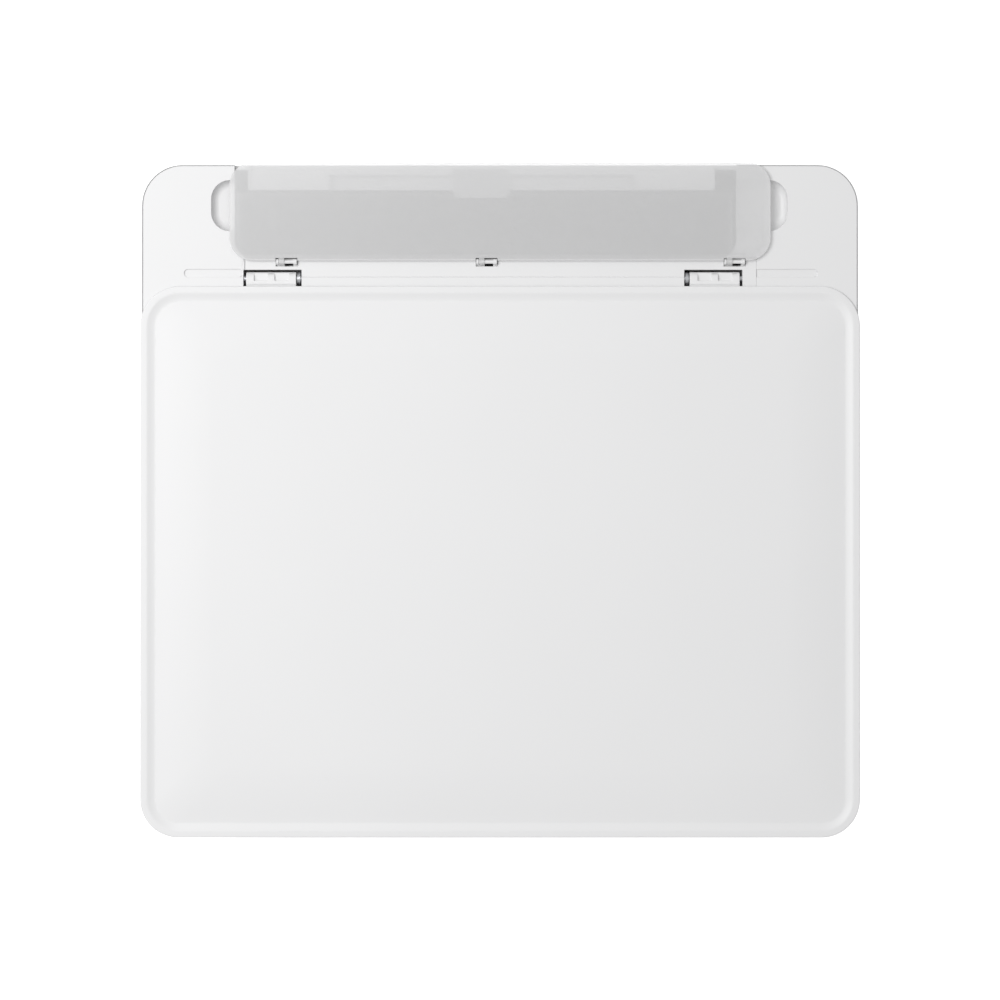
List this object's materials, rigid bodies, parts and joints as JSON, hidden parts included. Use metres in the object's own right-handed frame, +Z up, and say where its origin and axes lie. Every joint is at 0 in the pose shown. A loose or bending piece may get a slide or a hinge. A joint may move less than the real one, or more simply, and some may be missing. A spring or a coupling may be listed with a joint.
{
  "type": "inkjet printer",
  "caption": "Home all-in-one inkjet printer: pillow-topped document lid, flatbed scanner, rear tray under a clear flap, front cassette, tilting panel.",
  "frame": {"origin": "centre of the outer box, on the table", "axes": "+X to the printer's right seen from the front, +Y to its rear, +Z up"},
  "size_m": [0.376, 0.3526, 0.17],
  "materials": {
    "casing": "fine satin texture",
    "lid": "fine satin texture",
    "lid_inner": "satin",
    "pad": "soft matte film over foam",
    "flap": "smoky translucent",
    "tray_grey": "satin",
    "base": "matte",
    "feet": "matte",
    "steel": "zinc plated",
    "motor": "plated can",
    "belt": "matte",
    "mechanism": "fine matte",
    "gears": "natural acetal",
    "pinion": "machined",
    "rollers": "matte",
    "feed_shaft": "fine ground grit",
    "cartridge": "satin",
    "cassette": "satin",
    "output": "satin",
    "panel": "satin gloss",
    "display": "dark glossy",
    "button": "satin",
    "glass": "clear",
    "scan_bar": "matte",
    "supply": "matte",
    "board": "solder mask",
    "sockets": "matte"
  },
  "bodies": {
    "root": {"base_tray": "base", "rubber_feet": "feet", "case_screws": "steel", "left_side_cover": "casing", "right_side_cover": "casing", "rear_cover": "casing", "front_frame": "casing", "rear_deck": "casing", "hinge_strip": "casing", "paper_chute": "tray_grey", "inner_paper_guide": "mechanism", "chassis_frame": "steel", "carriage_rail": "steel", "platen": "mechanism", "carriage_belt": "belt", "carriage_motor": "motor", "feed_motor": "motor", "purge_station": "mechanism", "power_supply": "supply", "main_board": "board", "rear_sockets": "sockets"},
    "scanner_unit": {"scanner_base": "casing", "scanner_frame": "casing", "platen_glass": "glass", "scan_guide_rod": "steel", "scan_belt": "belt", "scan_motor": "motor", "scanner_hinge_arms": "steel"},
    "scan_head": {"scan_head": "scan_bar"},
    "scan_drive_pulley": {"scan_drive_pulley": "gears"},
    "scan_idler_pulley": {"scan_idler_pulley": "gears"},
    "document_lid": {"lid_shell": "lid", "lid_backing": "lid_inner", "document_pad": "pad", "lid_hinge_blocks": "lid"},
    "tray_flap": {"tray_flap": "flap"},
    "paper_support": {"paper_support": "tray_grey"},
    "left_paper_guide": {"left_paper_guide": "tray_grey"},
    "right_paper_guide": {"right_paper_guide": "tray_grey"},
    "guide_pinion": {"guide_pinion": "gears"},
    "carriage": {"carriage_body": "mechanism", "ink_cartridges": "cartridge"},
    "carriage_drive_pulley": {"carriage_drive_pulley": "gears"},
    "carriage_idler_pulley": {"carriage_idler_pulley": "gears"},
    "line_feed": {"line_feed_roller": "feed_shaft", "line_feed_gear": "gears"},
    "idler_gear": {"idler_gear": "gears"},
    "exit_roller": {"exit_roller": "rollers"},
    "motor_pinion": {"motor_pinion": "pinion"},
    "rear_feed_roller": {"rear_feed_roller": "rollers"},
    "purge_cap": {"purge_cap": "rollers"},
    "cassette": {"cassette_tray": "cassette"},
    "cassette_left_guide": {"cassette_left_guide": "mechanism"},
    "cassette_right_guide": {"cassette_right_guide": "mechanism"},
    "output_tray": {"output_tray": "output"},
    "control_panel": {"control_panel": "panel", "display_window": "display"},
    "power_button": {"power_button": "button"},
    "stop_button": {"stop_button": "button"},
    "start_button": {"start_button": "button"}
  },
  "joints": [
    {"name": "scanner_unit_hinge", "type": "hinge", "parent": "root", "child": "scanner_unit", "pos_m": [0, 0.1158, 0.165], "axis": [1, 0, 0], "range_deg": [-30, 0]},
    {"name": "document_lid_hinge", "type": "hinge", "parent": "scanner_unit", "child": "document_lid", "pos_m": [0, 0.1158, 0.165], "axis": [-1, 0, 0], "range_deg": [0, 75]},
    {"name": "scan_head_slide", "type": "slide", "parent": "scanner_unit", "child": "scan_head", "axis": [1, 0, 0], "range_m": [0, 0.297]},
    {"name": "scan_drive_pulley_spin", "type": "hinge", "parent": "scanner_unit", "child": "scan_drive_pulley", "pos_m": [-0.1732, -0.01, 0.1265], "axis": [0, 0, 1], "range_deg": [0, 3404]},
    {"name": "scan_idler_pulley_spin", "type": "hinge", "parent": "scanner_unit", "child": "scan_idler_pulley", "pos_m": [0.1732, -0.01, 0.1265], "axis": [0, 0, 1], "range_deg": [0, 3404]},
    {"name": "tray_flap_hinge", "type": "hinge", "parent": "root", "child": "tray_flap", "pos_m": [0, 0.1244, 0.1681], "axis": [1, 0, 0], "range_deg": [0, 80]},
    {"name": "paper_support_slide", "type": "slide", "parent": "root", "child": "paper_support", "axis": [0, 0.4226, 0.9063], "range_m": [0, 0.055]},
    {"name": "left_guide_slide", "type": "slide", "parent": "root", "child": "left_paper_guide", "axis": [1, 0, 0], "range_m": [0, 0.057]},
    {"name": "right_guide_slide", "type": "slide", "parent": "root", "child": "right_paper_guide", "axis": [1, 0, 0], "range_m": [-0.057, 0]},
    {"name": "guide_pinion_spin", "type": "hinge", "parent": "root", "child": "guide_pinion", "pos_m": [-0.0097, 0.15391, 0.14227], "axis": [0, -0.9063, 0.4226], "range_deg": [-820, 0]},
    {"name": "carriage_slide", "type": "slide", "parent": "root", "child": "carriage", "axis": [1, 0, 0], "range_m": [-0.256, 0]},
    {"name": "carriage_drive_pulley_spin", "type": "hinge", "parent": "root", "child": "carriage_drive_pulley", "pos_m": [-0.164, 0.068, 0.084], "axis": [0, 1, 0], "range_deg": [-2950, 0]},
    {"name": "carriage_idler_pulley_spin", "type": "hinge", "parent": "root", "child": "carriage_idler_pulley", "pos_m": [0.164, 0.068, 0.084], "axis": [0, 1, 0], "range_deg": [-2950, 0]},
    {"name": "line_feed_spin", "type": "hinge", "parent": "root", "child": "line_feed", "pos_m": [0, 0.055, 0.057], "axis": [1, 0, 0], "continuous": true},
    {"name": "idler_gear_spin", "type": "hinge", "parent": "root", "child": "idler_gear", "pos_m": [0, 0.0315, 0.057], "axis": [1, 0, 0], "continuous": true},
    {"name": "exit_roller_spin", "type": "hinge", "parent": "root", "child": "exit_roller", "pos_m": [0, 0.008, 0.057], "axis": [1, 0, 0], "continuous": true},
    {"name": "motor_pinion_spin", "type": "hinge", "parent": "root", "child": "motor_pinion", "pos_m": [0, 0.07262, 0.057], "axis": [1, 0, 0], "continuous": true},
    {"name": "rear_feed_roller_spin", "type": "hinge", "parent": "root", "child": "rear_feed_roller", "pos_m": [0, 0.12181, 0.10704], "axis": [1, 0, 0], "continuous": true},
    {"name": "purge_cap_lift", "type": "slide", "parent": "root", "child": "purge_cap", "axis": [0, 0, 1], "range_m": [-0.005, 0], "stiffness_N_per_m": 200, "springref_m": 0.001},
    {"name": "cassette_slide", "type": "slide", "parent": "root", "child": "cassette", "axis": [0, -1, 0], "range_m": [0, 0.26]},
    {"name": "cassette_left_guide_slide", "type": "slide", "parent": "cassette", "child": "cassette_left_guide", "axis": [1, 0, 0], "range_m": [0, 0.055]},
    {"name": "cassette_right_guide_slide", "type": "slide", "parent": "cassette", "child": "cassette_right_guide", "axis": [1, 0, 0], "range_m": [-0.055, 0]},
    {"name": "output_tray_slide", "type": "slide", "parent": "root", "child": "output_tray", "axis": [0, -1, 0], "range_m": [0, 0.11]},
    {"name": "control_panel_hinge", "type": "hinge", "parent": "root", "child": "control_panel", "pos_m": [0, -0.1715, 0.112], "axis": [-1, 0, 0], "range_deg": [0, 80]},
    {"name": "power_button_press", "type": "slide", "parent": "control_panel", "child": "power_button", "axis": [0, 1, 0], "range_m": [0, 0.0008], "stiffness_N_per_m": 300},
    {"name": "stop_button_press", "type": "slide", "parent": "control_panel", "child": "stop_button", "axis": [0, 1, 0], "range_m": [0, 0.0008], "stiffness_N_per_m": 300},
    {"name": "start_button_press", "type": "slide", "parent": "control_panel", "child": "start_button", "axis": [0, 1, 0], "range_m": [0, 0.0008], "stiffness_N_per_m": 300}
  ],
  "couplings": [
    {"joint": "scan_drive_pulley_spin", "follows": "scan_head_slide", "rad_per_m": 200},
    {"joint": "scan_idler_pulley_spin", "follows": "scan_head_slide", "rad_per_m": 200},
    {"joint": "paper_support_slide", "follows": "tray_flap_hinge", "m_per_rad": 0.039391},
    {"joint": "right_guide_slide", "follows": "left_guide_slide", "ratio": -1},
    {"joint": "carriage_drive_pulley_spin", "follows": "carriage_slide", "rad_per_m": 200},
    {"joint": "carriage_idler_pulley_spin", "follows": "carriage_slide", "rad_per_m": 200},
    {"joint": "idler_gear_spin", "follows": "line_feed_spin", "ratio": -1},
    {"joint": "exit_roller_spin", "follows": "line_feed_spin", "ratio": 1},
    {"joint": "motor_pinion_spin", "follows": "line_feed_spin", "ratio": -2},
    {"joint": "rear_feed_roller_spin", "follows": "line_feed_spin", "ratio": 0.5},
    {"joint": "cassette_right_guide_slide", "follows": "cassette_left_guide_slide", "ratio": -1},
    {"joint": "guide_pinion_spin", "follows": "left_guide_slide", "rad_per_m": -250}
  ]
}
